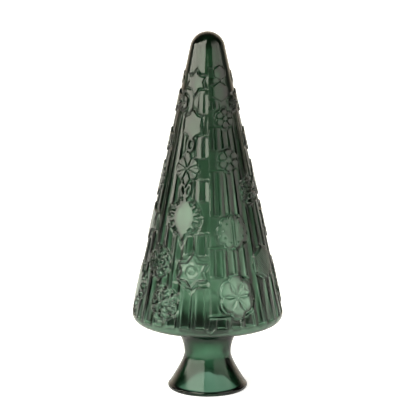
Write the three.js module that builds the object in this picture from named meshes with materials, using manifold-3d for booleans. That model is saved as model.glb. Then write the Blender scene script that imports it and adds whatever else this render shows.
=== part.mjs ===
// Glass tree ornament: a hollow cone with fluted, medallioned flanks on a flared hollow foot.
// Millimetres, +Z up, front towards -Y, origin at the centre of the ring it stands on.
import * as THREE from "three";
import { mergeVertices } from "three/addons/utils/BufferGeometryUtils.js";
import Module from "manifold-3d";

const wasm = await Module();
wasm.setup();

// Tree body
const HEIGHT = 300; // standing ring to tip
const FLANK_ANGLE = 12.3; // degrees between the flank and the axis
const TIP_RADIUS = 14.3; // ball-shaped tip
const HEEL_RADIUS = 7.5; // rounding between flank and underside
const UNDERSIDE_HEIGHT = 57.4; // flat underside above the standing ring
const BODY_WALL = 3.5; // flank, measured square to it
const TIP_WALL = 5; // glass gathers in the tip
const FLOOR_WALL = 4; // underside
const SHARPEST_HEEL = 0.25; // least inner rounding of the heel, as a share of the outer one

// Foot and neck
const JOIN_HEIGHT = 50; // hot-joined ring between foot and body
const NECK_HEIGHT = 30; // narrowest outside section
const NECK_RADIUS = 19.4;
const NECK_REACH = 22; // how far the neck's sweep runs out below the underside
const BORE_RADIUS = 14.1; // open way from the foot into the body
const FLARE_KNEE = 6; // straightness of the flare, below the neck
const RIM_RADIUS = 33.2; // widest circle of the foot
const LIP_RADIUS = 2.3; // rounded edge of the foot
const STANDING_RADIUS = 29.8; // outer edge of the standing ring
const LIP_SWEEP = 60; // degrees of the lip's rounding below and above its widest circle
const MOUTH_RADIUS = 24; // inner edge of the standing ring
const MOUTH_DEPTH = 28; // height over which the mouth narrows to the bore
const MOUTH_BEND = 0.5; // share of that height at which the mouth's flare turns upright

// Relief: each half of the two-part mould carries the same pattern
const SEAM_ANGLE = 1.7; // degrees, front seam, counted from -Y towards +X
const FLUTES_PER_HALF = 15;
const FIRST_BAR = 3.3; // degrees from the seam to the first bar's middle
const LAST_BAR = 2; // degrees from the last bar's middle to the next seam
const BAR_WIDTH = 3.8; // degrees of plain bar between two flutes
const FLUTE_DEPTH = 0.9; // at a flute's top
const FLUTE_TILT = 0.07; // a flute's floor falls away from the flank by this share of its length
const FLUTE_FALL = 0.9; // most that a floor falls away, however long the flute
const TIP_BAND = 48; // plain height below the tip
const HEEL_BAND = 8.6; // plain height above the underside
const SHORTEST_FLUTE = 6;
const MEDALLION_LIFT = 1.0;
const MEDALLION_ROOT = 2; // how deep a medallion is rooted in the glass
const MEDALLION_MARGIN = 1.6; // plain edge kept round a medallion
const FIELD_CUT = 0.2; // share of a flute's width that may run beside a medallion
const SEAM_FIELD = 36; // degrees: a medallion this close to a seam has a plain field up to it

// Snow crystals of one mould half, for an ornament of DRAWN_HEIGHT: degrees from the half's seam,
// height, radius, arms and notch depth
const DRAWN_HEIGHT = 300;
const MEDALLIONS = [
  { angle: 30, height: 232, radius: 7.8, arms: 6, notch: 0.22, tips: "round" },
  { angle: 28.5, height: 199, radius: 9, arms: 8, notch: 0.25, tips: "sharp" },
  { angle: 25, height: 142, radius: 13.5, arms: 8, notch: 0.15, tips: "round" },
  { angle: 23.2, height: 90.5, radius: 16.5, arms: 6, notch: 0.16, tips: "round" },
  { angle: 58, height: 172, radius: 11, arms: 6, notch: 0.35, tips: "sharp" },
  { angle: 60.4, height: 113, radius: 13, arms: 6, notch: 0.2, tips: "round" },
  { angle: 91, height: 179.5, radius: 10.5, arms: 8, notch: 0.3, tips: "sharp" },
  { angle: 94, height: 146, radius: 12.5, arms: 6, notch: 0.25, tips: "sharp" },
  { angle: 96, height: 92, radius: 15, arms: 8, notch: 0.3, tips: "sharp" },
  { angle: 127, height: 115.7, radius: 12, arms: 6, notch: 0.4, tips: "sharp" },
  { angle: 140, height: 84, radius: 12.5, arms: 8, notch: 0.25, tips: "sharp" },
  { angle: 150.5, height: 261, radius: 7.2, arms: 6, notch: 0.25, tips: "sharp" },
  { angle: 152.2, height: 227, radius: 9.5, arms: 6, notch: 0.38, tips: "sharp" },
  { angle: 150.5, height: 192.4, radius: 9.6, arms: 8, notch: 0.25, tips: "round" },
  { angle: 151.7, height: 154, radius: 13.5, arms: 8, notch: 0.35, tips: "sharp" },
  { angle: 164, height: 111.1, radius: 13, arms: 6, notch: 0.38, tips: "sharp" },
  { angle: 91, height: 263, radius: 5, arms: 6, notch: 0.14, tips: "sharp" },
  { angle: 91, height: 245, radius: 7.6, arms: 6, notch: 0.3, tips: "sharp" },
  { angle: 91, height: 212, radius: 9, arms: 6, notch: 0.3, tips: "sharp" },
  { angle: 31, height: 268.5, radius: 5.6, arms: 6, notch: 0.14, tips: "sharp" },
  { angle: 27, height: 253.5, radius: 7.4, arms: 6, notch: 0.14, tips: "sharp" },
  { angle: 60, height: 243, radius: 6.5, arms: 6, notch: 0.3, tips: "sharp" },
  { angle: 122, height: 244, radius: 6.5, arms: 6, notch: 0.2, tips: "sharp" },
].map((crystal) => ({
  ...crystal,
  height: (crystal.height * HEIGHT) / DRAWN_HEIGHT,
  radius: (crystal.radius * HEIGHT) / DRAWN_HEIGHT,
}));

// Facets
const TURN_STEPS = 44;
const ARC_STEPS = 5;
const TIP_STEPS = 7;
const INNER_STEPS = 3;
const STEPS_PER_ARM = { sharp: 2, round: 4 };
const MERGE_DISTANCE = 1e-4; // points this close count as one

const radians = THREE.MathUtils.degToRad;
const flankAngle = radians(FLANK_ANGLE);

// Apex of the cone that carries an outside of the given tip rounding, topping out at tipHeight
function apexOver(tipHeight, tipRadius) {
  return tipHeight + tipRadius * (1 / Math.sin(flankAngle) - 1);
}

const OUTER_APEX = apexOver(HEIGHT, TIP_RADIUS);
const INNER_APEX = OUTER_APEX - BODY_WALL / Math.sin(flankAngle);

function flankRadius(height, apex = OUTER_APEX) {
  return (apex - height) * Math.tan(flankAngle);
}

// Point on the plain flank, lifted square to it
function onFlank(angle, height, lift) {
  const radius = flankRadius(height) + lift * Math.cos(flankAngle);
  const turn = radians(SEAM_ANGLE + angle);
  return [radius * Math.sin(turn), -radius * Math.cos(turn), height + lift * Math.sin(flankAngle)];
}

// Points of an ellipse's arc, both ends included, as profile points of radius and height
function arc(centreRadius, centreHeight, reach, rise, fromDegrees, toDegrees, steps = ARC_STEPS) {
  return Array.from({ length: steps + 1 }, (_, i) => {
    const t = radians(fromDegrees + ((toDegrees - fromDegrees) * i) / steps);
    return new THREE.Vector2(centreRadius + reach * Math.cos(t), centreHeight + rise * Math.sin(t));
  });
}

// Ball-shaped tip that ends a flank with the given apex, up to the axis
function tipArc(tipHeight, apex, steps = TIP_STEPS) {
  const radius = (apex - tipHeight) / (1 / Math.sin(flankAngle) - 1);
  const points = arc(0, tipHeight - radius, radius, radius, FLANK_ANGLE, 90, steps);
  points.at(-1).x = 0;
  return points;
}

// Heel that leads from a flat floor at floorHeight into a flank with the given apex
function heelArc(apex, floorHeight, radius, steps = ARC_STEPS) {
  const centreHeight = floorHeight + radius;
  const centreRadius = flankRadius(centreHeight, apex) - radius / Math.cos(flankAngle);
  return arc(centreRadius, centreHeight, radius, radius, -90, FLANK_ANGLE, steps);
}

// Outside of the neck's sweep between two heights
function neckSweep(fromHeight, toHeight) {
  const rise = UNDERSIDE_HEIGHT - NECK_HEIGHT;
  const degreesAt = (height) =>
    180 - THREE.MathUtils.radToDeg(Math.asin((height - NECK_HEIGHT) / rise));
  const centre = NECK_RADIUS + NECK_REACH;
  return arc(centre, NECK_HEIGHT, NECK_REACH, rise, degreesAt(fromHeight), degreesAt(toHeight));
}

// Solid turned from a profile whose outside is listed from the bottom up
function turned(profile) {
  const geometry = new THREE.LatheGeometry(profile, TURN_STEPS);
  geometry.rotateX(Math.PI / 2);
  return toSolid(geometry);
}

function toSolid(geometry) {
  geometry.deleteAttribute("normal");
  geometry.deleteAttribute("uv");
  const merged = mergeVertices(geometry, MERGE_DISTANCE);
  return new wasm.Manifold(
    new wasm.Mesh({
      numProp: 3,
      vertProperties: new Float32Array(merged.attributes.position.array),
      triVerts: new Uint32Array(merged.index.array),
    })
  );
}

function fromPoints(points, triangles) {
  const geometry = new THREE.BufferGeometry();
  geometry.setAttribute("position", new THREE.Float32BufferAttribute(points.flat(), 3));
  geometry.setIndex(triangles.flat());
  return geometry;
}

// Block that cuts one flute: its inner face is the flute's floor, its outer face lies out of the glass
function fluteCutter(middle, width, bottom, top) {
  const points = [];
  const deepest = FLUTE_DEPTH + Math.min(FLUTE_TILT * (top - bottom), FLUTE_FALL);
  for (const [low, high] of [[-deepest, -FLUTE_DEPTH], [FLUTE_DEPTH, FLUTE_DEPTH]]) {
    points.push(onFlank(middle - width / 2, bottom, low));
    points.push(onFlank(middle + width / 2, bottom, low));
    points.push(onFlank(middle + width / 2, top, high));
    points.push(onFlank(middle - width / 2, top, high));
  }
  const sides = [0, 1, 2, 3].map((i) => [i, (i + 1) % 4, ((i + 1) % 4) + 4, i + 4]);
  const quads = [[3, 2, 1, 0], [4, 5, 6, 7], ...sides];
  return toSolid(fromPoints(points, quads.map(([a, b, c, d]) => [a, b, c, a, c, d])));
}

// Raised crystal: an outline round a middle, wrapped onto the flank and rooted in the glass
function medallionSolid({ angle, height, radius, arms, notch, tips }) {
  const steps = arms * STEPS_PER_ARM[tips];
  const wrapped = (reach, around, lift) => {
    const z = height + reach * Math.cos(around) * Math.cos(flankAngle);
    const across = THREE.MathUtils.radToDeg((reach * Math.sin(around)) / flankRadius(height));
    return onFlank(angle + across, z, lift);
  };
  const outline = (lift) =>
    Array.from({ length: steps }, (_, i) => {
      const around = (2 * Math.PI * i) / steps;
      const valley = (1 - Math.cos(arms * around)) / 2;
      return wrapped(radius * (1 - notch * valley), around, lift);
    });
  const [face, root] = [MEDALLION_LIFT, -MEDALLION_ROOT];
  const points = [wrapped(0, 0, face), ...outline(face), ...outline(root), wrapped(0, 0, root)];
  const last = points.length - 1;
  const triangles = [];
  for (let i = 0; i < steps; i++) {
    const next = (i + 1) % steps;
    const [a, b, c, d] = [1 + i, 1 + next, 1 + steps + next, 1 + steps + i];
    triangles.push([0, b, a], [a, b, c], [a, c, d], [last, d, c]);
  }
  return toSolid(fromPoints(points, triangles));
}

// Stretches of a flute's column that medallions and their plain fields keep free of flutes
function plainStretches(middle, width) {
  const stretches = [];
  for (const { angle, height, radius } of MEDALLIONS) {
    const off = Math.abs(middle - angle) + FIELD_CUT * width;
    const across = radians(off) * flankRadius(height);
    const reach = radius + MEDALLION_MARGIN;
    const towardsSeam =
      (angle < SEAM_FIELD && middle < angle) || (angle > 180 - SEAM_FIELD && middle > angle);
    const overMedallion = across < reach ? Math.sqrt(reach ** 2 - across ** 2) : 0;
    const half = Math.max(overMedallion, towardsSeam ? radius : 0);
    if (half > 0) stretches.push([height - half, height + half]);
  }
  return stretches.sort((a, b) => a[0] - b[0]);
}

function fluteCutters() {
  const pitch = (180 - FIRST_BAR - LAST_BAR) / FLUTES_PER_HALF;
  const width = pitch - BAR_WIDTH;
  const highest = HEIGHT - TIP_BAND;
  const cutters = [];
  for (let column = 0; column < FLUTES_PER_HALF; column++) {
    const middle = FIRST_BAR + pitch * (column + 0.5);
    let bottom = UNDERSIDE_HEIGHT + HEEL_BAND;
    for (const [from, to] of [...plainStretches(middle, width), [highest, highest]]) {
      const top = Math.min(from, highest);
      if (top - bottom >= SHORTEST_FLUTE) cutters.push(fluteCutter(middle, width, bottom, top));
      bottom = Math.max(bottom, to);
    }
  }
  return cutters;
}

function onBothHalves(solids) {
  return solids.flatMap((solid) => [solid, solid.rotate([0, 0, 180])]);
}

function treeBody() {
  const outside = turned([
    new THREE.Vector2(0, JOIN_HEIGHT),
    ...neckSweep(JOIN_HEIGHT, UNDERSIDE_HEIGHT),
    ...heelArc(OUTER_APEX, UNDERSIDE_HEIGHT, HEEL_RADIUS),
    ...tipArc(HEIGHT, OUTER_APEX),
  ]);
  const floorHeight = UNDERSIDE_HEIGHT + FLOOR_WALL;
  const innerHeel = Math.max(HEEL_RADIUS - BODY_WALL, SHARPEST_HEEL * HEEL_RADIUS);
  const floorRise = floorHeight - JOIN_HEIGHT;
  const belowJoin = JOIN_HEIGHT - FLOOR_WALL;
  const cavity = turned([
    new THREE.Vector2(0, belowJoin),
    new THREE.Vector2(BORE_RADIUS, belowJoin),
    ...arc(BORE_RADIUS + floorRise, JOIN_HEIGHT, floorRise, floorRise, 180, 90, INNER_STEPS),
    ...heelArc(INNER_APEX, floorHeight, innerHeel, INNER_STEPS),
    ...tipArc(HEIGHT - TIP_WALL, INNER_APEX, INNER_STEPS),
  ]);
  const flutes = onBothHalves(fluteCutters());
  const medallions = onBothHalves(MEDALLIONS.map(medallionSolid));
  const fluted = flutes.reduce((solid, flute) => solid.subtract(flute), outside);
  return medallions.reduce((solid, medallion) => solid.add(medallion), fluted).subtract(cavity);
}

function foot() {
  const lipCentre = RIM_RADIUS - LIP_RADIUS;
  const lip = arc(lipCentre, LIP_RADIUS, LIP_RADIUS, LIP_RADIUS, -LIP_SWEEP, LIP_SWEEP);
  const flare = new THREE.QuadraticBezierCurve(
    lip.at(-1),
    new THREE.Vector2(NECK_RADIUS, NECK_HEIGHT - FLARE_KNEE),
    new THREE.Vector2(NECK_RADIUS, NECK_HEIGHT)
  );
  const mouth = new THREE.QuadraticBezierCurve(
    new THREE.Vector2(BORE_RADIUS, MOUTH_DEPTH),
    new THREE.Vector2(BORE_RADIUS, MOUTH_DEPTH * MOUTH_BEND),
    new THREE.Vector2(MOUTH_RADIUS, 0)
  );
  return turned([
    new THREE.Vector2(STANDING_RADIUS, 0),
    ...lip,
    ...flare.getPoints(ARC_STEPS).slice(1),
    ...neckSweep(NECK_HEIGHT, JOIN_HEIGHT).slice(1),
    new THREE.Vector2(BORE_RADIUS, JOIN_HEIGHT),
    ...mouth.getPoints(ARC_STEPS),
    new THREE.Vector2(STANDING_RADIUS, 0),
  ]);
}

function glass(colour) {
  return new THREE.MeshStandardMaterial({
    color: colour,
    roughness: 0.06,
    metalness: 0,
    transparent: true,
    opacity: 0.6,
  });
}

function asMesh(name, solid, material) {
  const { vertProperties, triVerts } = solid.getMesh();
  const geometry = new THREE.BufferGeometry();
  geometry.setAttribute("position", new THREE.BufferAttribute(vertProperties, 3));
  geometry.setIndex(new THREE.BufferAttribute(triVerts, 1));
  geometry.computeVertexNormals();
  const mesh = new THREE.Mesh(geometry, material);
  mesh.name = name;
  return mesh;
}

const ornament = new THREE.Group();
ornament.add(asMesh("tree_body", treeBody(), glass(0x3f5c48)));
ornament.add(asMesh("foot", foot(), glass(0x4c6a55)));

export default ornament;
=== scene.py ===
"""Green glass tree ornament: moulded relief on a hollow cone, on a smooth flared hollow foot. Metres."""
from math import cos, pi, radians, sin, tan

import bpy
import numpy as np
from mathutils import Euler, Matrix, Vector


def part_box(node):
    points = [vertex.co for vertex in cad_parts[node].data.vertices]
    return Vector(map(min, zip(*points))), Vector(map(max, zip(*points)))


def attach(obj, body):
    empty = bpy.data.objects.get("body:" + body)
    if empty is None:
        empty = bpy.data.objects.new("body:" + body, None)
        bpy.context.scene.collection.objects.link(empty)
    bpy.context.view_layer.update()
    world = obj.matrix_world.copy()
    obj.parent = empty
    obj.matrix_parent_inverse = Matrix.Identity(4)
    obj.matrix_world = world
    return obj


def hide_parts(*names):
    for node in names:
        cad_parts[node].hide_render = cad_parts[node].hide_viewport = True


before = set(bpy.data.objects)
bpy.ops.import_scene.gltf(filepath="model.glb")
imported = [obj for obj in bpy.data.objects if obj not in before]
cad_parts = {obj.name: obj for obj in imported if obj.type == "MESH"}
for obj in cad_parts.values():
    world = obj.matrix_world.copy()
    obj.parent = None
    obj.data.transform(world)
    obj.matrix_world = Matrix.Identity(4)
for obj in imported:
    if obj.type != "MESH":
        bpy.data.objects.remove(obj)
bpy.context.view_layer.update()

MM = 0.001

# Sizes read from the frame
tree_low, tree_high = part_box("tree_body")
_, foot_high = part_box("foot")
HEIGHT = tree_high[2] / MM
JOIN_HEIGHT = tree_low[2] / MM
RIM_RADIUS = foot_high[0] / MM

# Tree body, in millimetres
FLANK_ANGLE = radians(12.3)
TIP_RADIUS = 14.3
HEEL_RADIUS = 7.5
UNDERSIDE_HEIGHT = 57.4
BODY_WALL = 3.5
TIP_WALL = 5.0
FLOOR_WALL = 4.0

# Foot and neck
NECK_HEIGHT = 30.0
NECK_RADIUS = 19.4
NECK_REACH = 22.0
BORE_RADIUS = 14.1
FLARE_KNEE = 6.0
LIP_RADIUS = 2.3
LIP_SWEEP = 60  # degrees below and above its widest circle
STANDING_RADIUS = 29.8
MOUTH_RADIUS = 24.0
MOUTH_DEPTH = 28.0
JOIN_GAP = 0.02

# Relief of one mould half, which the other half repeats: degrees are counted from the half's seam
SEAM_ANGLE = 1.7  # the front seam, from -Y towards +X
FLUTES_PER_HALF = 15
FIRST_BAR = 3.3  # degrees from the seam to the first bar's middle
LAST_BAR = 2.0  # degrees from the last bar's middle to the next seam

# Bars between the flutes, in millimetres
BAR_HALF = 1.85  # half a bar's width
SLIT_HALF = 0.4  # what a bar leaves free at least, up to the middle of a narrow flute
BAR_CROWN = 0.08  # drop from a bar's middle to its edges
BAR_GROOVE = 0.22  # depth of the fine groove along a bar's middle
GROOVE_WIDTH = 0.33
GROOVED_BELOW = 170.0  # height where the grooves begin
GROOVE_FADE = 40.0

# Flutes
FLUTE_DEPTH = 0.9  # at a flute's top
FLUTE_TILT = 0.07  # share of its length by which a floor falls away from the flank
FLUTE_FALL = 0.9  # most that a floor falls away
WALL = 1.0  # width of the slope from a bar or a field down to a floor
FLUTE_TOP = 252.0
FLUTE_BOTTOM = 66.0
SHORTEST_FLUTE = 4.0

# Plain fields round the crystals
FIELD_CUT = 0.27  # share of a flute's half pitch that may run beside a crystal
FIELD_MARGIN = 1.6  # plain edge kept round a crystal
FIELD_RIDGE = 0.8  # part of that edge that isn't recessed
FIELD_DEPTH = 0.2  # recess at a field's top
FIELD_TILT = 0.032  # share of its length by which a field falls away from the flank
FIELD_FADE = 6.0  # width over which a field fades out across the seam
SEAM_FIELD = 36.0  # degrees: a crystal this close to a seam has a plain field up to it
OPEN_GROUND = 99.0  # distance to start from when looking for the nearest field

# Crystals
MEDALLION_LIFT = 1.0
MEDALLION_EDGE = 0.6  # width of a crystal's sloping edge
MOAT_DEPTH = 0.8  # depth of the groove round a crystal
MOAT_WIDTH = 1.0
MOAT_REACH = 1.2  # distance from a crystal's edge to the groove's middle
DEEPEST = 2.0  # no groove goes deeper
CRYSTAL_REACH = 2.4  # share of its radius that a crystal never passes
FAR_OUTSIDE = -9.0  # inside measure of a point off every petal or arm

# Mould seam: a fine ridge on the flank, and a notch in the heel
SEAM_RIDGE = 0.07
SEAM_WIDTH = 0.4
SEAM_ENDS = (6.0, 12.0)  # below the flutes' bottom, and below the tip
SEAM_FADES = (4.0, 6.0)
NOTCH_HEIGHT = 61.8
NOTCH_DEPTH = 1.0
NOTCH_WIDTH = 0.7
NOTCH_FADE = 1.5
NOTCH_REACH = 5.0
NOTCH_STEEPNESS = 1.1

# Walls: how the inside departs from the plain profile
SKIN = 0.03  # what the relief stays inside of the widest size
INNER_SHARE = 1.8  # share of the outer relief that the inside follows
INNER_BLUR = 1.0
THINNER_LOW = 2.9  # change of the wall from the underside to the tip
EVEN_SHARE = 0.49  # share of the height where the wall is as named
THIN_FLOOR = 0.7
THIN_FLOOR_TOP = 84.0
THIN_FLOOR_FADE = 16.0
THICK_NECK = 1.2
THICK_NECK_RISE = 6.0
THICK_NECK_REACH = 9.0

# Where lifts end: beside the axis, above the join, and at the two ends of the foot
AXIS_CLEAR = 2.0
AXIS_FADE = 8.0
JOIN_FADE = 3.0
FOOT_FADES = (6.0, 4.0)

# Slow waves of each surface: millimetres and seed
TREE_OUTSIDE_WAVES = (0.02, 3)
TREE_INSIDE_WAVES = (0.06, 7)
FOOT_OUTSIDE_WAVES = (0.03, 11)
FOOT_INSIDE_WAVES = (0.16, 13)
WAVE_COUNT = 14

# The bars on the two sides of a seam lean to the left: degrees and drop in millimetres
LEANING_BARS = [(FIRST_BAR, 0.45), (180 - LAST_BAR, 0.75)]

# Degrees from the seam, height, radius and kind of each snow crystal
MEDALLIONS = [
    (30.0, 232.0, 7.8, "blossom"),
    (28.5, 199.0, 9.0, "blossom"),
    (25.0, 142.0, 13.5, "scallop"),
    (23.2, 90.5, 16.5, "hexagon"),
    (58.0, 172.0, 11.0, "branches"),
    (60.4, 113.0, 13.0, "stipple"),
    (91.0, 179.5, 10.5, "daisy"),
    (94.0, 146.0, 12.5, "star"),
    (96.0, 92.0, 15.0, "sunburst"),
    (127.0, 115.7, 12.0, "branches"),
    (140.0, 84.0, 12.5, "branches"),
    (150.5, 261.0, 7.2, "star"),
    (152.2, 227.0, 9.5, "tall_star"),
    (150.5, 192.4, 9.6, "daisy"),
    (151.7, 154.0, 13.5, "sunburst"),
    (164.0, 111.1, 13.0, "ring_star"),
    (91.0, 263.0, 5.0, "plate"),
    (91.0, 245.0, 7.6, "star"),
    (91.0, 212.0, 9.0, "dots"),
    (31.0, 268.5, 5.6, "plate"),
    (27.0, 253.5, 7.4, "plate"),
    (60.0, 243.0, 6.5, "blossom"),
    (122.0, 244.0, 6.5, "hexagon"),
]

# Small loops between two crystals of the left column: degrees, height, radius and kind
PENDANTS = [
    (152.2, 211.4, 5.4, "loop"),
    (151.4, 175.0, 5.6, "bow"),
]

# Studio colours, linear, and the windows' edges: azimuths in degrees, heights as sines
THROUGH_BACK = (0.85, 0.85, 0.84)
THROUGH_FRONT = (0.48, 0.465, 0.45)
ROOM_BACK = (1.5, 1.3, 1.02)
BACK_STARTS = (0.4, 0.85)
ROOM_DARK = (0.05, 0.042, 0.034)
ROOM_HORIZON = (0.3, 0.3, 0.27)
FLOOR_GLOW = 0.7
FLOOR_MIRRORED = 0.5
LEFT_WINDOW = (6.8, 6.9, 5.8)
RIGHT_WINDOW = (2.4, 2.34, 2.06)
LEFT_SIDES = (-108, -98, -15, -12)
RIGHT_SIDES = (27, 31, 84, 96)
LEFT_SILL = (0.4066, -0.1952)
LEFT_SILL_EDGE = (-0.028, -0.012)
LEFT_TOP = (sin(radians(72)), sin(radians(62)))
RIGHT_SILL = (sin(radians(-2)), sin(radians(6)))
RIGHT_TOP = (sin(radians(60)), sin(radians(24)))
LEAN_FROM = 0.35
WINDOW_LEAN = 2.0
TOWARDS_BACK = (-0.2, 0.7)
HORIZON_LOW = (radians(2), radians(8))
HORIZON_HIGH = (radians(16), radians(12))

# Glass
GLASS_IOR = 1.52
HAZE = 0.26  # share of light that the moulded skin scatters on its way through
HAZE_ROUGHNESS = 0.29
GRAIN_SCALE = 260
GRAIN_DETAIL = 3
GRAIN_RANGE = (0.5, 1.6)

# Mesh density: steps round the axis, and step lengths along the profiles in millimetres
TURN_STEPS = 960
FLANK_STEP = 0.45
ARC_STEP = 0.5
UNDERSIDE_STEP = 0.8
FLOOR_STEP = 1.0
INNER_STEP = 0.9
RING_STEP = 0.3
LIP_STEP = 0.15
BORE_STEP = 0.8


def apex_over(tip_height, tip_radius):
    return tip_height + tip_radius * (1 / sin(FLANK_ANGLE) - 1)


OUTER_APEX = apex_over(HEIGHT, TIP_RADIUS)
INNER_APEX = OUTER_APEX - BODY_WALL / sin(FLANK_ANGLE)


def flank_radius(height, apex=OUTER_APEX):
    return (apex - height) * tan(FLANK_ANGLE)


def smooth(x):
    """0 below 0, 1 above 1, with level ends between."""
    x = np.clip(x, 0, 1)
    return x * x * (3 - 2 * x)


def arc(centre, reach, rise, start, end, step=ARC_STEP):
    """Profile points (radius, height) along an ellipse's arc, in degrees, both ends included."""
    count = max(3, int(abs(radians(end - start)) * max(reach, rise) / step))
    t = np.radians(np.linspace(start, end, count + 1))
    return np.stack([centre[0] + reach * np.cos(t), centre[1] + rise * np.sin(t)], 1)


def bezier(a, b, c, count=40):
    t = np.linspace(0, 1, count + 1)[:, None]
    return (1 - t) ** 2 * np.array(a) + 2 * t * (1 - t) * np.array(b) + t**2 * np.array(c)


def straight(a, b, step):
    length = float(np.hypot(*(np.array(b) - np.array(a))))
    return np.linspace(a, b, max(2, int(length / step) + 1))


def joined(*stretches):
    """One profile from several, without the doubled points where they meet."""
    points = np.concatenate(stretches)
    apart = np.hypot(*np.diff(points, axis=0).T) > 1e-4
    return points[np.concatenate([[True], apart])]


def tip_arc(tip_height, apex):
    radius = (apex - tip_height) / (1 / sin(FLANK_ANGLE) - 1)
    return arc((0, tip_height - radius), radius, radius, np.degrees(FLANK_ANGLE), 90)


def heel_arc(apex, floor_height, radius):
    centre_height = floor_height + radius
    centre_radius = flank_radius(centre_height, apex) - radius / cos(FLANK_ANGLE)
    return arc((centre_radius, centre_height), radius, radius, -90, np.degrees(FLANK_ANGLE))


def neck_sweep(low, high):
    """Quarter of an ellipse from the narrow neck out to the underside, between two heights."""
    rise = UNDERSIDE_HEIGHT - NECK_HEIGHT
    start, end = (180 - np.degrees(np.arcsin((height - NECK_HEIGHT) / rise)) for height in (low, high))
    centre = (NECK_RADIUS + NECK_REACH, NECK_HEIGHT)
    return arc(centre, NECK_REACH, rise, start, end)


def polar(u, v):
    """Distance and clockwise angle from straight up."""
    return np.hypot(u, v), np.arctan2(u, v)


def raised(inside, edge=MEDALLION_EDGE):
    """Flat-topped height from how far a point lies inside an outline, in millimetres."""
    return smooth(inside / edge + 0.5)


def ridge(distance, width):
    return np.exp(-((distance / width) ** 2))


def turned(u, v, angle):
    """Along and across an arm that points clockwise from straight up."""
    return u * sin(angle) + v * cos(angle), u * cos(angle) - v * sin(angle)


def arms_of(count, first=0.0):
    return [first + 2 * pi * arm / count for arm in range(count)]


def bar_shape(along, across, start, end, half_width):
    return np.minimum(half_width - np.abs(across), np.minimum(along - start, end - along))


def diamond(u, v, middle, half_width, half_length):
    skew = np.hypot(1 / half_width, 1 / half_length)
    return (1 - np.abs(u) / half_width - np.abs(v - middle) / half_length) / skew


def sector_gap(away, around, count, first=0.0):
    """Distance from the nearest boundary between equal sectors."""
    sector = 2 * pi / count
    off = (around - first) % sector
    return away * np.sin(np.minimum(off, sector - off))


def lobed(away, around, r, count, depth, first=0.0):
    """Inside measure of an outline with round lobes."""
    lobe = np.abs(np.cos((around - first) * count / 2)) ** 0.5
    return r * (1 - depth + depth * lobe) - away


def pointed(away, around, r, count, notch, first=0.0):
    """Inside measure of a star whose points run straight to its notches."""
    sector = pi / count
    off = np.abs((around - first + sector) % (2 * sector) - sector)
    tip = np.array([r, 0.0])
    foot = r * (1 - notch) * np.array([cos(sector), sin(sector)])
    edge = foot - tip
    normal = np.array([edge[1], -edge[0]]) / np.hypot(*edge)
    x, y = away * np.cos(off), away * np.sin(off)
    return -((x - tip[0]) * normal[0] + (y - tip[1]) * normal[1])


def leaf_slits(away, around, r, count, first, start, end, half_width):
    """Carving of leaf-shaped slits between sectors, from start to end as shares of the radius."""
    share = np.clip((away / r - start) / (end - start), 0, 1)
    width = half_width * np.sin(pi * share) + 1e-6
    return smooth(1.2 - sector_gap(away, around, count, first) / width) * (share > 0) * (share < 1)


def crystal_daisy(u, v, r):
    """Six broad slit petals and two upright lozenges that meet in a small eye."""
    away, around = polar(u, v)
    outline = lobed(away, around, 1.05 * r, 8, 0.16)
    petals = np.minimum(outline, sector_gap(away, around, 8, pi / 8) - 0.18)
    lozenge = (np.abs(around) < pi / 8) | (np.abs(around) > 7 * pi / 8)
    body = np.where(lozenge, FAR_OUTSIDE, petals)
    for middle in (0.86 * r, -0.86 * r):
        body = np.maximum(body, diamond(u, v, middle, 0.27 * r, 0.62 * r))
    body = np.maximum(body, 0.14 * r - away)
    slits = leaf_slits(away, around, r, 8, 0, 0.6, 1.05, 0.15)
    return 2.4 * body, -0.4 * np.where(lozenge, 0, slits)


def crystal_star(u, v, r):
    """Broad six-pointed plate with a long hanging point."""
    away, around = polar(u, v)
    body = pointed(away, around, r * 1.12, 6, 0.3)
    body = np.maximum(body, diamond(u, v, -0.7 * r, 0.42 * r, 0.75 * r))
    return body, 0


def crystal_tall_star(u, v, r):
    """Tall six-pointed plate with a straight left side."""
    away, around = polar(1.25 * u, 0.9 * v)
    side = np.minimum(0.55 * r - np.abs(v), np.minimum(u + 0.74 * r, -u))
    return np.maximum(pointed(away, around, r * 1.12, 6, 0.22), side), 0


def crystal_sunburst(u, v, r):
    """Tall smooth sun with twelve narrow rays, and a long point up and down."""
    body = 0.66 * r - np.hypot(u, 0.72 * v)
    for turn in arms_of(12, pi / 12):
        along, across = turned(u, v, turn)
        body = np.maximum(body, bar_shape(along, across, 0.4 * r, 1.02 * r, 0.1 * r))
    body = np.maximum(body, diamond(u, v, -0.85 * r, 0.26 * r, 0.6 * r))
    return np.maximum(body, diamond(u, v, 0.78 * r, 0.2 * r, 0.6 * r)), 0


def crystal_ring_star(u, v, r):
    """Star with a raised border round a ring and a boss."""
    away, around = polar(u, v)
    body = pointed(away, around, r * 1.12, 6, 0.34)
    dish = raised(body - 1.6) * 0.75
    ring = ridge(away - 0.42 * r, 0.9)
    boss = raised(0.17 * r - away)
    return body, dish * (np.maximum(ring, boss) - 1)


def crystal_hexagon(u, v, r):
    """Six flat petals, taller than wide, parted by leaf-shaped slits round a small eye."""
    away, around = polar(1.18 * u, 0.98 * v)
    body = np.minimum(lobed(away, around, r * 1.06, 6, 0.2), pointed(away, around, r * 1.3, 6, 0.3))
    slits = leaf_slits(away, around, r, 6, pi / 6, 0.1, 0.82, 1.5)
    pillow = 0.25 * ridge(away, 0.8 * r)
    return body, pillow - 1.1 * slits - 0.5 * ridge(away - 0.1 * r, 0.6)


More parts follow.
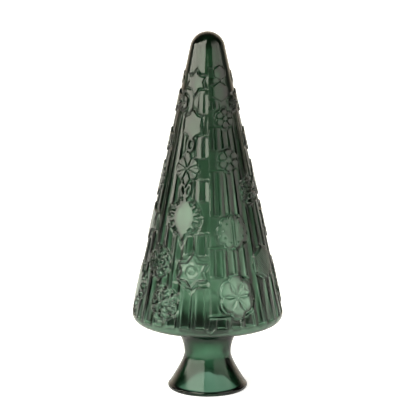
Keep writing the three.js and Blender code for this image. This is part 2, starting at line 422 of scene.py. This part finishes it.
def crystal_scallop(u, v, r):
    """Scalloped round flower with a double midrib and a dimple in each lobe."""
    away, around = polar(u, v)
    body = lobed(away, around, r, 9, 0.2)
    rib = ridge(np.abs(u) - 1.0, 0.5) * smooth((0.9 * r - np.abs(v)) / 2)
    carving = -0.5 * rib
    for turn in arms_of(9):
        along, across = turned(u, v, turn)
        carving = carving - 0.7 * ridge(np.hypot(along - 0.68 * r, across), 0.9)
    return body, carving


def crystal_blossom(u, v, r):
    """Six round petals round a raised heart."""
    away, around = polar(u, v)
    petals = np.minimum(lobed(away, around, r, 6, 0.34), sector_gap(away, around, 6, pi / 6) - 0.3)
    body = np.maximum(petals, 0.26 * r - away)
    return body, -0.5 * ridge(away - 0.34 * r, 0.5)


def crystal_stipple(u, v, r):
    """Six-sided crystal covered in small dimples."""
    away, around = polar(u, v)
    dimples = np.cos(u * 2 * pi / 2.4) * np.cos(v * 2 * pi / 2.4)
    return pointed(away, around, r * 1.08, 6, 0.2), 0.2 * (dimples - 1)


def crystal_branches(u, v, r):
    """Six straight arms with two pairs of side twigs each."""
    body = np.full_like(u, FAR_OUTSIDE)
    for turn in arms_of(6):
        along, across = turned(u, v, turn)
        body = np.maximum(body, bar_shape(along, across, -1.0, r, 0.1 * r))
        for root in (0.34, 0.62):
            for side in (-1, 1):
                step, off = turned(across * side, along - root * r, pi / 4)
                body = np.maximum(body, bar_shape(step, off, -0.5, 0.36 * r, 0.07 * r))
    return body, 0


def crystal_dots(u, v, r):
    """Small six-pointed crystal with a round dimple in each point."""
    away, around = polar(u, v)
    carving = np.zeros_like(u)
    for turn in arms_of(6):
        along, across = turned(u, v, turn)
        carving -= 0.9 * ridge(np.hypot(along - 0.68 * r, across), 0.12 * r)
    return pointed(away, around, r * 1.12, 6, 0.3), carving


def crystal_plate(u, v, r):
    """Plain, low, soft-edged plate with six sides."""
    away, around = polar(u, v)
    return 0.6 * pointed(away, around, r * 1.1, 6, 0.14), -0.3


def loop_band(across, along, half_width, half_height, band):
    """Inside measure of the band of an upright oval loop."""
    slim = half_width / half_height
    return band - slim * np.abs(np.hypot(across / slim, along) - half_height)


def crystal_bow(u, v, r):
    """Two hanging loops side by side, drawn together at the bottom."""
    body = np.full_like(u, FAR_OUTSIDE)
    for side in (-1, 1):
        along, across = turned(u - side * 0.38 * r, v, side * 0.2)
        body = np.maximum(body, loop_band(across, along, 0.32 * r, 0.82 * r, 0.75))
    return body, 0


def crystal_loop(u, v, r):
    """One upright loop with a lozenge hanging below it."""
    body = loop_band(u, v, 0.45 * r, 0.85 * r, 0.8)
    return np.maximum(body, diamond(u + 0.43 * r, v, -1.6 * r, 0.3 * r, 0.75 * r)), 0


CRYSTALS = {
    "daisy": crystal_daisy,
    "star": crystal_star,
    "tall_star": crystal_tall_star,
    "sunburst": crystal_sunburst,
    "ring_star": crystal_ring_star,
    "hexagon": crystal_hexagon,
    "scallop": crystal_scallop,
    "blossom": crystal_blossom,
    "stipple": crystal_stipple,
    "branches": crystal_branches,
    "dots": crystal_dots,
    "plate": crystal_plate,
    "bow": crystal_bow,
    "loop": crystal_loop,
}


def faces_seam(angle, middle):
    """True where a column lies between a seam and a crystal near that seam."""
    return angle < min(SEAM_FIELD, 180 - SEAM_FIELD) and middle < angle or (
        angle > 180 - SEAM_FIELD and middle > angle
    )


def plain_stretches(middle, half_pitch):
    """Heights that crystals and their plain fields keep free of flutes in one column."""
    stretches = []
    for angle, height, radius, _ in MEDALLIONS:
        off = abs(middle - angle)
        if faces_seam(angle, middle):
            half = radius
        else:
            across = radians(off + FIELD_CUT * half_pitch) * flank_radius(height)
            reach = radius + FIELD_MARGIN
            half = (reach**2 - across**2) ** 0.5 if across < reach else 0
        if half > 0:
            stretches.append((height - half, height + half))
    return sorted(stretches)


def flutes():
    """Middle, half pitch, bottom and top of every flute of one mould half, with the slit at its seams."""
    half_pitch = (180 - FIRST_BAR - LAST_BAR) / FLUTES_PER_HALF / 2
    slit = (FIRST_BAR - LAST_BAR) / 2
    half_slit = (FIRST_BAR + LAST_BAR) / 2
    middles = [FIRST_BAR + half_pitch * (2 * column + 1) for column in range(FLUTES_PER_HALF)]
    columns = [(middle, half_pitch) for middle in middles]
    columns += [(slit, half_slit), (180 + slit, half_slit)]
    found = []
    for middle, half_pitch in columns:
        bottom = FLUTE_BOTTOM
        for low, high in plain_stretches(middle, half_pitch) + [(FLUTE_TOP, FLUTE_TOP)]:
            top = min(low, FLUTE_TOP)
            if top - bottom >= SHORTEST_FLUTE:
                found.append((middle, half_pitch, bottom, top))
            bottom = max(bottom, high)
    return found


def field_distance(turns, heights):
    """Distance in millimetres outside the nearest crystal's round plain field."""
    t, z = np.meshgrid(turns, heights)
    nearest = np.full(t.shape, OPEN_GROUND)
    for angle, height, radius, _ in MEDALLIONS:
        u = radians(1) * (t - angle) * flank_radius(height)
        v = (z - height) / cos(FLANK_ANGLE)
        nearest = np.minimum(nearest, np.hypot(u, v) - radius - FIELD_MARGIN)
    return nearest


def field_recess(t, z, radius, angle, height, r):
    """Depth of one crystal's plain field: shallow at its top, and carried over a near seam."""
    scale = radians(1) * radius
    v = (z - height) / cos(FLANK_ANGLE)
    reach = r + FIELD_MARGIN - FIELD_RIDGE
    share = smooth((reach - np.hypot(scale * (t - angle), v)) / WALL)
    if min(angle, 180 - angle) < SEAM_FIELD:
        from_seam = t if angle < SEAM_FIELD else 180 - t
        towards_seam = scale * (min(angle, 180 - angle) - from_seam)
        beside = np.minimum(r - FIELD_RIDGE - np.abs(v), towards_seam)
        fade = smooth(scale * from_seam / FIELD_FADE + 0.5)
        share = np.maximum(share, smooth(beside / WALL) * fade)
    depth = FIELD_DEPTH + FIELD_TILT * np.clip(reach - v, 0, 2 * reach)
    return depth * share


def bar_crown(t, scale, from_bar):
    """Depth below a bar's highest line, which is its middle, or the right edge of a leaning bar."""
    crown = BAR_CROWN * np.minimum(from_bar / BAR_HALF, 1) ** 2
    for angle, drop in LEANING_BARS:
        from_edge = scale * (angle - t) / (2 * BAR_HALF) + 0.5
        crown = np.where((from_edge > 0) & (from_edge < 1), drop * from_edge, crown)
    return crown


def half_relief(turns, heights):
    """Relief height in millimetres for one mould half: rows follow heights, columns follow turns."""
    t, z = np.meshgrid(turns, heights)
    radius = np.maximum(flank_radius(z), 1)
    relief = np.zeros_like(t)
    outside_fields = field_distance(turns, heights)
    for middle, half_pitch, bottom, top in flutes():
        near = np.abs(turns - middle) < half_pitch
        block = np.ix_((heights > bottom - 1) & (heights < top + 1), near)
        scale = radians(1) * radius[block]
        end = np.minimum(top - z[block], z[block] - bottom)
        end = smooth(np.minimum(end, outside_fields[block]) / WALL + 0.5)
        depth = FLUTE_DEPTH + min(FLUTE_TILT, FLUTE_FALL / (top - bottom)) * (top - z[block])
        from_bar = scale * (half_pitch - np.abs(t[block] - middle))
        bar = np.minimum(BAR_HALF, scale * half_pitch - SLIT_HALF)
        panel = depth * smooth((from_bar - bar) / WALL)
        grooved = BAR_GROOVE * smooth((GROOVED_BELOW - z[block]) / GROOVE_FADE)
        groove = grooved * ridge(from_bar, GROOVE_WIDTH)
        crown = bar_crown(t[block], scale, from_bar)
        relief[block] = np.minimum(relief[block], -end * (panel + groove + crown))
    for angle, height, r, _ in MEDALLIONS:
        for half in (-180, 0, 180):
            relief = np.minimum(relief, -field_recess(t + half, z, radius, angle, height, r))
    for angle, height, r, kind in MEDALLIONS + PENDANTS:
        reach = CRYSTAL_REACH * r
        nearby = np.abs(turns - angle) < np.degrees(reach / flank_radius(height)) * 1.2
        block = np.ix_(np.abs(heights - height) < reach, nearby)
        u = radians(1) * (t[block] - angle) * flank_radius(height)
        v = (z[block] - height) / cos(FLANK_ANGLE)
        body, carving = CRYSTALS[kind](u, v, r)
        beside = ridge(body + MOAT_REACH, MOAT_WIDTH) * smooth(1 - 2 * relief[block])
        moat_depth = 0 if kind == "plate" else MOAT_DEPTH
        moat = relief[block] - moat_depth * beside
        ground = np.maximum(moat, np.minimum(relief[block], -DEEPEST))
        share = raised(body)
        relief[block] = ground * (1 - share) + MEDALLION_LIFT * (1 + carving) * share
    seam = radians(1) * np.minimum(t, 180 - t) * radius
    arms = ridge(NOTCH_STEEPNESS * seam - (z - NOTCH_HEIGHT), NOTCH_WIDTH)
    notch = arms * smooth((NOTCH_HEIGHT + NOTCH_REACH - z) / NOTCH_FADE)
    relief = relief - NOTCH_DEPTH * notch
    above_start = smooth((z - FLUTE_BOTTOM + SEAM_ENDS[0]) / SEAM_FADES[0])
    below_end = smooth((HEIGHT - SEAM_ENDS[1] - z) / SEAM_FADES[1])
    return relief + SEAM_RIDGE * ridge(seam, SEAM_WIDTH) * (above_start * below_end)


def softened(relief, profile, heights, reach):
    """Relief blurred by reach, in millimetres, and read at other heights: rows follow the profile."""
    waves = np.fft.rfft(relief, axis=1)
    number = np.arange(waves.shape[1])
    radius = np.maximum(profile[:, :1], 1)
    around = np.fft.irfft(waves * np.exp(-((number * reach / radius) ** 2) / 2), relief.shape[1], axis=1)
    weight = np.exp(-(((profile[None, :, 1] - heights[:, None]) / reach) ** 2) / 2)
    weight *= np.gradient(profile[:, 1])[None, :]
    return weight @ around / weight.sum(1, keepdims=True)


def waviness(turns, heights, amount, seed):
    """Slow unevenness that closes on itself round the part."""
    rng = np.random.default_rng(seed)
    t, z = np.meshgrid(np.radians(turns), heights)
    total = np.zeros_like(t)
    for _ in range(WAVE_COUNT):
        total += np.sin(rng.integers(1, 9) * t + z / rng.uniform(4, 22) + rng.uniform(0, 2 * pi))
    return amount * total / WAVE_COUNT**0.5


def turned_mesh(name, outside, inside, outside_lift, inside_lift):
    """Closed glass wall between two profiles, both listed upwards from the join or the floor.

    A profile that ends on the axis closes in a pole; otherwise a flat ring joins it to the other.
    Lifts move points square to the profile, in millimetres, one row for each profile point."""
    turns = np.radians(SEAM_ANGLE + (np.arange(TURN_STEPS) + 0.5) * 360 / TURN_STEPS)
    rings = []
    for profile, lift in ((outside, outside_lift), (inside, inside_lift)):
        slope = np.gradient(profile, axis=0)
        slope /= np.linalg.norm(slope, axis=1)[:, None]
        normal = np.stack([slope[:, 1], -slope[:, 0]], 1)
        radius = profile[:, :1] + normal[:, :1] * lift
        height = profile[:, 1:] + normal[:, 1:] * lift
        rings.append(np.stack([radius * np.sin(turns), -radius * np.cos(turns), height], 2))
    points, faces, start = [], [], []
    count = 0
    for ring, profile in zip(rings, (outside, inside)):
        closed = profile[-1, 0] < 1e-6
        body = ring[:-1] if closed else ring
        start.append((count, len(body), closed))
        points.append(body.reshape(-1, 3))
        count += body.shape[0] * TURN_STEPS
        if closed:
            points.append(ring[-1].mean(0, keepdims=True))
            count += 1
    column = np.arange(TURN_STEPS)
    after = (column + 1) % TURN_STEPS

    def band(low, high, outward):
        quad = np.stack([low + column, low + after, high + after, high + column], 1)
        faces.append(quad if outward else quad[:, ::-1])

    for (first, rows, _), outward in zip(start, (True, False)):
        for row in range(rows - 1):
            band(first + row * TURN_STEPS, first + (row + 1) * TURN_STEPS, outward)
    band(start[1][0], start[0][0], True)
    if not start[0][2]:
        last = [first + (rows - 1) * TURN_STEPS for first, rows, _ in start]
        band(last[0], last[1], True)
    caps = []
    for (first, rows, closed), outward in zip(start, (True, False)):
        if closed:
            low = first + (rows - 1) * TURN_STEPS
            pole = np.full(TURN_STEPS, first + rows * TURN_STEPS)
            cap = np.stack([low + column, low + after, pole], 1)
            caps.append(cap if outward else cap[:, ::-1])
    mesh = bpy.data.meshes.new(name)
    vertices = np.concatenate(points) * MM
    quads = np.concatenate(faces).tolist()
    triangles = [triangle for cap in caps for triangle in cap.tolist()]
    mesh.from_pydata(vertices.tolist(), [], quads + triangles)
    mesh.validate()
    mesh.shade_smooth()
    piece = bpy.data.objects.new(name, mesh)
    bpy.context.collection.objects.link(piece)
    return piece


def tree_glass():
    """Hollow cone with its relief, from the join up."""
    join = JOIN_HEIGHT + JOIN_GAP
    heel = heel_arc(OUTER_APEX, UNDERSIDE_HEIGHT, HEEL_RADIUS)
    tip = tip_arc(HEIGHT, OUTER_APEX)
    sweep = neck_sweep(join, UNDERSIDE_HEIGHT)
    outside = joined(
        sweep,
        straight(sweep[-1], heel[0], UNDERSIDE_STEP),
        heel,
        straight(heel[-1], tip[0], FLANK_STEP),
        tip,
    )
    floor_height = UNDERSIDE_HEIGHT + FLOOR_WALL
    rise = floor_height - JOIN_HEIGHT
    inner_heel = heel_arc(INNER_APEX, floor_height, HEEL_RADIUS - BODY_WALL)
    inner_tip = tip_arc(HEIGHT - TIP_WALL, INNER_APEX)
    throat = arc((BORE_RADIUS + rise, JOIN_HEIGHT), rise, rise, 180, 90)
    throat[0, 1] = join
    inside = joined(
        throat,
        straight(throat[-1], inner_heel[0], FLOOR_STEP),
        inner_heel,
        straight(inner_heel[-1], inner_tip[0], INNER_STEP),
        inner_tip,
    )
    half = (np.arange(TURN_STEPS // 2) + 0.5) * 360 / TURN_STEPS
    relief = half_relief(half, outside[:, 1])
    above_underside = outside[:, 1] - UNDERSIDE_HEIGHT
    relief = np.tile(relief * smooth((above_underside[:, None] - 1) / 2), 2)
    full = np.arange(TURN_STEPS) * 360 / TURN_STEPS
    outer_lift = relief + waviness(full, outside[:, 1], *TREE_OUTSIDE_WAVES)
    inner_lift = waviness(full, inside[:, 1], *TREE_INSIDE_WAVES)
    facing = inside[:, 1] + BODY_WALL * sin(FLANK_ANGLE)
    inner_lift += INNER_SHARE * softened(relief, outside, facing, INNER_BLUR)
    inner_lift += THINNER_LOW * (EVEN_SHARE - smooth(inside[:, 1:] / HEIGHT))
    inner_lift += THIN_FLOOR * smooth((THIN_FLOOR_TOP - inside[:, 1:]) / THIN_FLOOR_FADE)
    for lift, profile in ((outer_lift, outside), (inner_lift, inside)):
        off_axis, above_join = profile[:, :1], profile[:, 1:] - join
        lift *= smooth((off_axis - AXIS_CLEAR) / AXIS_FADE) * smooth(above_join / JOIN_FADE)
    room = tree_high[0] / MM - SKIN - outside[:, :1]
    outer_lift = np.minimum(outer_lift, room)
    return turned_mesh("tree_glass", outside, inside, outer_lift, inner_lift)


def foot_glass():
    """Smooth flared foot, open below, up to the join."""
    join = JOIN_HEIGHT - JOIN_GAP
    lip_centre = (RIM_RADIUS - LIP_RADIUS, LIP_RADIUS)
    lip = arc(lip_centre, LIP_RADIUS, LIP_RADIUS, -LIP_SWEEP, LIP_SWEEP, LIP_STEP)
    flare = bezier(lip[-1], (NECK_RADIUS, NECK_HEIGHT - FLARE_KNEE), (NECK_RADIUS, NECK_HEIGHT))
    outside = joined(
        straight((STANDING_RADIUS, 0), lip[0], RING_STEP),
        lip,
        flare,
        neck_sweep(NECK_HEIGHT, join),
    )
    mouth = bezier((MOUTH_RADIUS, 0), (BORE_RADIUS, MOUTH_DEPTH / 2), (BORE_RADIUS, MOUTH_DEPTH))
    inside = joined(mouth, straight(mouth[-1], (BORE_RADIUS, join), BORE_STEP))
    full = np.arange(TURN_STEPS) * 360 / TURN_STEPS
    lifts = []
    for profile, waves in ((outside, FOOT_OUTSIDE_WAVES), (inside, FOOT_INSIDE_WAVES)):
        above_ring = smooth(profile[:, 1:] / FOOT_FADES[0])
        ends = above_ring * smooth((join - profile[:, 1:]) / FOOT_FADES[1])
        lifts.append(waviness(full, profile[:, 1], *waves) * ends)
    near_neck = ridge(inside[:, 1:] - NECK_HEIGHT - THICK_NECK_RISE, THICK_NECK_REACH)
    lifts[1] -= THICK_NECK * (near_neck * ends)
    return turned_mesh("foot_glass", outside, inside, *lifts)


def glass(name, colour, density, roughness, polish, mirrored):
    """Clear bottle glass that takes its green from its depth, with a faint fire-polished grain."""
    material = bpy.data.materials.new(name)
    material.use_nodes = True
    nodes, links = material.node_tree.nodes, material.node_tree.links
    surface = nodes["Principled BSDF"]
    surface.inputs["Base Color"].default_value = (1, 1, 1, 1)
    surface.inputs["Transmission Weight"].default_value = 1
    surface.inputs["IOR"].default_value = GLASS_IOR
    surface.inputs["Specular IOR Level"].default_value = polish
    surface.inputs["Specular Tint"].default_value = (mirrored, mirrored, mirrored, 1)
    grain = nodes.new("ShaderNodeTexNoise")
    grain.inputs["Scale"].default_value = GRAIN_SCALE
    grain.inputs["Detail"].default_value = GRAIN_DETAIL
    spread = nodes.new("ShaderNodeMapRange")
    spread.inputs["To Min"].default_value = roughness * GRAIN_RANGE[0]
    spread.inputs["To Max"].default_value = roughness * GRAIN_RANGE[1]
    links.new(grain.outputs["Fac"], spread.inputs["Value"])
    links.new(spread.outputs["Result"], surface.inputs["Roughness"])
    haze = nodes.new("ShaderNodeBsdfRefraction")
    haze.inputs["IOR"].default_value = GLASS_IOR
    haze.inputs["Roughness"].default_value = HAZE_ROUGHNESS
    blend = nodes.new("ShaderNodeMixShader")
    blend.inputs["Fac"].default_value = HAZE
    links.new(surface.outputs["BSDF"], blend.inputs[1])
    links.new(haze.outputs["BSDF"], blend.inputs[2])
    links.new(blend.outputs["Shader"], nodes["Material Output"].inputs["Surface"])
    absorption = nodes.new("ShaderNodeVolumeAbsorption")
    absorption.inputs["Color"].default_value = (*colour, 1)
    absorption.inputs["Density"].default_value = density
    links.new(absorption.outputs["Volume"], nodes["Material Output"].inputs["Volume"])
    return material


def step_between(nodes, links, value, low, high):
    """Smooth step from 0 at low to 1 at high; falls instead where high is below low."""
    step = nodes.new("ShaderNodeMapRange")
    step.interpolation_type = "SMOOTHSTEP"
    step.inputs["From Min"].default_value = min(low, high)
    step.inputs["From Max"].default_value = max(low, high)
    step.inputs["To Min"].default_value = 0 if low < high else 1
    step.inputs["To Max"].default_value = 1 if low < high else 0
    links.new(value, step.inputs["Value"])
    return step.outputs["Result"]


def math_node(nodes, links, operation, *values):
    """Output of one Math node; each value is a number or another node's output."""
    node = nodes.new("ShaderNodeMath")
    node.operation = operation
    for socket, value in zip(node.inputs, values):
        if isinstance(value, (int, float)):
            socket.default_value = value
        else:
            links.new(value, socket)
    return node.outputs["Value"]


def blend_colour(nodes, links, factor, a, b):
    """Colour a where factor is 0 and b where it is 1; each is a tuple or another node's output."""
    mix = nodes.new("ShaderNodeMix")
    mix.data_type = "RGBA"
    links.new(factor, mix.inputs["Factor"])
    for socket, value in ((mix.inputs[6], a), (mix.inputs[7], b)):
        if isinstance(value, tuple):
            socket.default_value = (*value, 1)
        else:
            links.new(value, socket)
    return mix.outputs[2]


def window(nodes, links, azimuths, sides, heights, low, high):
    """1 inside a soft-edged window, 0 outside it.

    Sides are (start, full, full, end) azimuths in degrees; low and high are the (start, full)
    heights of its lower and upper edge. Each edge is read from its own azimuth or height."""
    start, full, full_again, end = (radians(side) for side in sides)
    across = math_node(nodes, links, "MULTIPLY",
                       step_between(nodes, links, azimuths[0], start, full),
                       step_between(nodes, links, azimuths[1], end, full_again))
    upright = math_node(nodes, links, "MULTIPLY",
                        step_between(nodes, links, heights[0], *low),
                        step_between(nodes, links, heights[1], *high))
    return math_node(nodes, links, "MULTIPLY", across, upright)


def arched(nodes, links, azimuth, z, rise, base):
    """Height above a sill that is highest in front of the ornament and falls to its sides."""
    bend = math_node(nodes, links, "COSINE", math_node(nodes, links, "MULTIPLY", azimuth, 0.5))
    sill = math_node(nodes, links, "MULTIPLY_ADD", bend, rise, base)
    return math_node(nodes, links, "SUBTRACT", z, sill)


def studio_world():
    """White behind the ornament; windows in a dim warm room in what its outside mirrors."""
    world = bpy.data.worlds.new("studio")
    bpy.context.scene.world = world
    world.use_nodes = True
    nodes, links = world.node_tree.nodes, world.node_tree.links
    nodes.clear()
    path = nodes.new("ShaderNodeLightPath")
    place = nodes.new("ShaderNodeTexCoord")
    split = nodes.new("ShaderNodeSeparateXYZ")
    links.new(place.outputs["Generated"], split.inputs["Vector"])
    x, y, z = split.outputs
    azimuth = math_node(nodes, links, "ARCTAN2", x, math_node(nodes, links, "MULTIPLY", y, -1))
    elevation = math_node(nodes, links, "ARCSINE", z)
    towards_back = step_between(nodes, links, y, *TOWARDS_BACK)
    behind = step_between(nodes, links, y, *BACK_STARTS)
    horizon = math_node(nodes, links, "MULTIPLY",
                        step_between(nodes, links, elevation, *HORIZON_LOW),
                        step_between(nodes, links, elevation, *HORIZON_HIGH))
    front = blend_colour(nodes, links, horizon, ROOM_DARK, ROOM_HORIZON)
    mirrored = blend_colour(nodes, links, behind, front, ROOM_BACK)
    through = blend_colour(nodes, links, towards_back, THROUGH_FRONT, THROUGH_BACK)
    above_sill = arched(nodes, links, azimuth, z, *LEFT_SILL)
    high = math_node(nodes, links, "MAXIMUM", math_node(nodes, links, "SUBTRACT", z, LEAN_FROM), 0.0)
    leaning = math_node(nodes, links, "MULTIPLY_ADD", high, -WINDOW_LEAN, azimuth)
    left = window(nodes, links, (leaning, azimuth), LEFT_SIDES, (above_sill, z), LEFT_SILL_EDGE, LEFT_TOP)
    mirrored = blend_colour(nodes, links, left, mirrored, LEFT_WINDOW)
    right = window(nodes, links, (azimuth, azimuth), RIGHT_SIDES, (z, z), RIGHT_SILL, RIGHT_TOP)
    mirrored = blend_colour(nodes, links, right, mirrored, RIGHT_WINDOW)
    room = blend_colour(nodes, links, path.outputs["Is Transmission Ray"], mirrored, through)
    seen = blend_colour(nodes, links, path.outputs["Is Camera Ray"], room, (1.0, 1.0, 1.0))
    background = nodes.new("ShaderNodeBackground")
    links.new(seen, background.inputs["Color"])
    output = nodes.new("ShaderNodeOutputWorld")
    links.new(background.outputs["Background"], output.inputs["Surface"])


def studio_floor():
    """Pale floor just under the ornament, which keeps its shadow and glows where it is seen."""
    size = 3.0
    below = 0.0001
    floor_colour = (0.8, 0.8, 0.8, 1)
    mesh = bpy.data.meshes.new("studio_floor")
    corners = [(-size, -size, 0), (size, -size, 0), (size, size, 0), (-size, size, 0)]
    mesh.from_pydata([(x, y, z - below) for x, y, z in corners], [], [(0, 1, 2, 3)])
    floor = bpy.data.objects.new("studio_floor", mesh)
    bpy.context.collection.objects.link(floor)
    material = bpy.data.materials.new("pale_floor")
    material.use_nodes = True
    nodes, links = material.node_tree.nodes, material.node_tree.links
    nodes.clear()
    diffuse = nodes.new("ShaderNodeBsdfDiffuse")
    diffuse.inputs["Color"].default_value = floor_colour
    glow = nodes.new("ShaderNodeEmission")
    path = nodes.new("ShaderNodeLightPath")
    seen = math_node(nodes, links, "MAXIMUM", path.outputs["Is Camera Ray"],
                     path.outputs["Is Transmission Ray"])
    direct = math_node(nodes, links, "MULTIPLY", seen, FLOOR_GLOW)
    mirrored = math_node(nodes, links, "MULTIPLY", path.outputs["Is Glossy Ray"], FLOOR_MIRRORED)
    links.new(math_node(nodes, links, "ADD", direct, mirrored), glow.inputs["Strength"])
    both = nodes.new("ShaderNodeAddShader")
    links.new(diffuse.outputs["BSDF"], both.inputs[0])
    links.new(glow.outputs["Emission"], both.inputs[1])
    output = nodes.new("ShaderNodeOutputMaterial")
    links.new(both.outputs["Shader"], output.inputs["Surface"])
    mesh.materials.append(material)


def photo_camera():
    """Camera of the photograph: azimuth 0, a little above the ornament, long lens."""
    elevation = radians(12.4)
    distance = 2.0
    pixels_per_metre = 1210.7
    frame_pixels = 416
    sensor = 36.0
    aim = Vector((0, 0, 0.5 * HEIGHT * MM))
    up = Vector((0, sin(elevation), cos(elevation)))
    shown_at = (-0.4, -3.5)
    camera_data = bpy.data.cameras.new("camera")
    camera_data.sensor_width = sensor
    camera_data.lens = pixels_per_metre * distance * sensor / frame_pixels
    camera_data.clip_end = 20
    camera = bpy.data.objects.new("camera", camera_data)
    bpy.context.collection.objects.link(camera)
    back = Vector((0, -cos(elevation), sin(elevation)))
    camera.location = aim + back * distance
    camera.location -= up * (shown_at[1] / pixels_per_metre)
    camera.location -= Vector((1, 0, 0)) * (shown_at[0] / pixels_per_metre)
    camera.rotation_euler = Euler((pi / 2 - elevation, 0, 0))
    bpy.context.scene.camera = camera


photo_camera()
studio_world()
studio_floor()

tree = tree_glass()
tree.data.materials.append(
    glass("green_glass", (0.14, 0.36, 0.22), density=610, roughness=0.02, polish=1.0, mirrored=1.0)
)
foot = foot_glass()
foot.data.materials.append(
    glass("foot_glass_green", (0.08, 0.36, 0.21), density=300, roughness=0.03, polish=0.08, mirrored=0.6)
)
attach(tree, "root")
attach(foot, "root")
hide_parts("tree_body")
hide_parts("foot")

scene = bpy.context.scene
scene.view_settings.view_transform = "Standard"
scene.cycles.max_bounces = 24
scene.cycles.transmission_bounces = 24
scene.cycles.glossy_bounces = 12
scene.cycles.transparent_max_bounces = 16
